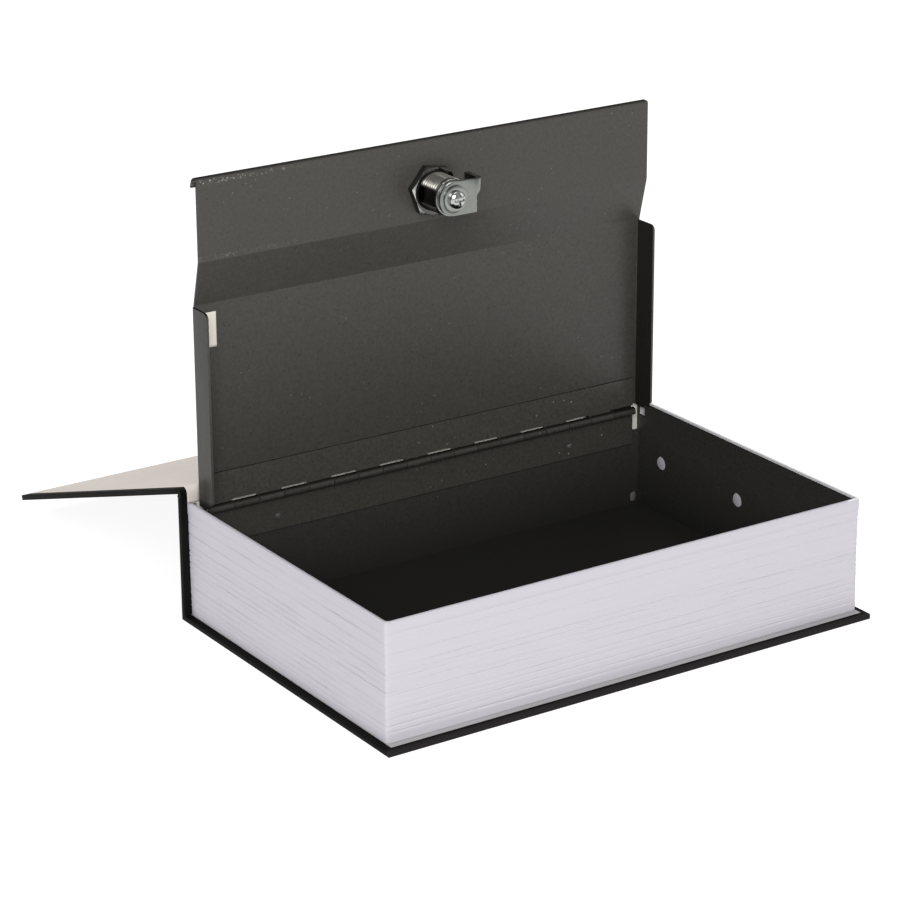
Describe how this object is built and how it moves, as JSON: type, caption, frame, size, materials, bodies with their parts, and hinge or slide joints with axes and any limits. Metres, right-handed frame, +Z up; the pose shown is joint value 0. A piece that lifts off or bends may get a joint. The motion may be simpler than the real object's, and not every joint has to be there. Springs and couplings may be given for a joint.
{
  "type": "book diversion safe",
  "caption": "Hollow book with a folded steel tray inside, a hinged steel lid with a key cam lock, and a hard cover that closes over it.",
  "frame": {"origin": "centre of the back cover's underside, the face the book rests on", "axes": "+X along the spine, +Y from the fore-edge to the spine and on to the opened front cover, +Z up from the back cover"},
  "size_m": [0.24, 0.3125, 0.1935],
  "materials": {
    "leatherette": "black grained book cloth",
    "board": "grey binder's board",
    "endpaper": "cream endpaper",
    "pages": "moulded white page edges",
    "hammertone": "dark grey hammertone enamel",
    "bright_steel": "plain drawn wire",
    "chrome": "nickel-chrome plated",
    "brass": "stamped brass"
  },
  "bodies": {
    "root": {"case_cloth": "leatherette", "back_board": "board", "spine_board": "board", "back_endpaper": "endpaper", "front_joint": "leatherette", "joint_paper": "endpaper", "page_block": "pages", "steel_tray": "hammertone", "strike_channel": "hammertone", "hinge_rivet_1": "hammertone", "hinge_rivet_2": "hammertone", "box_hinge_leaf": "hammertone", "hinge_pin": "bright_steel"},
    "lid": {"lid_panel": "hammertone", "lid_hinge_leaf": "hammertone", "lock_body": "chrome", "lock_nut": "chrome"},
    "lock_rotor": {"lock_plug": "chrome", "stop_washer": "chrome", "cam": "chrome", "cam_washer": "chrome", "cam_screw": "chrome", "wafer_1": "brass", "wafer_2": "brass", "wafer_3": "brass", "wafer_4": "brass", "wafer_5": "brass"},
    "front_cover": {"front_cloth": "leatherette", "front_board": "board", "front_endpaper": "endpaper"}
  },
  "joints": [
    {"name": "lid_hinge", "type": "hinge", "parent": "root", "child": "lid", "pos_m": [0, 0.0738, 0.0495], "axis": [1, 0, 0], "range_deg": [0, 90]},
    {"name": "lock_turn", "type": "hinge", "parent": "lid", "child": "lock_rotor", "pos_m": [0, 0.0705, 0.1712], "axis": [0, -1, 0], "range_deg": [0, 90]},
    {"name": "front_cover_hinge", "type": "hinge", "parent": "root", "child": "front_cover", "pos_m": [0, 0.07885, 0.0569], "axis": [1, 0, 0], "range_deg": [0, 198.7], "deforming": ["front_joint", "joint_paper"]}
  ],
  "couplings": [
    {"joint": "front_cover_hinge", "follows": "lid_hinge", "ratio": 2.2078}
  ]
}
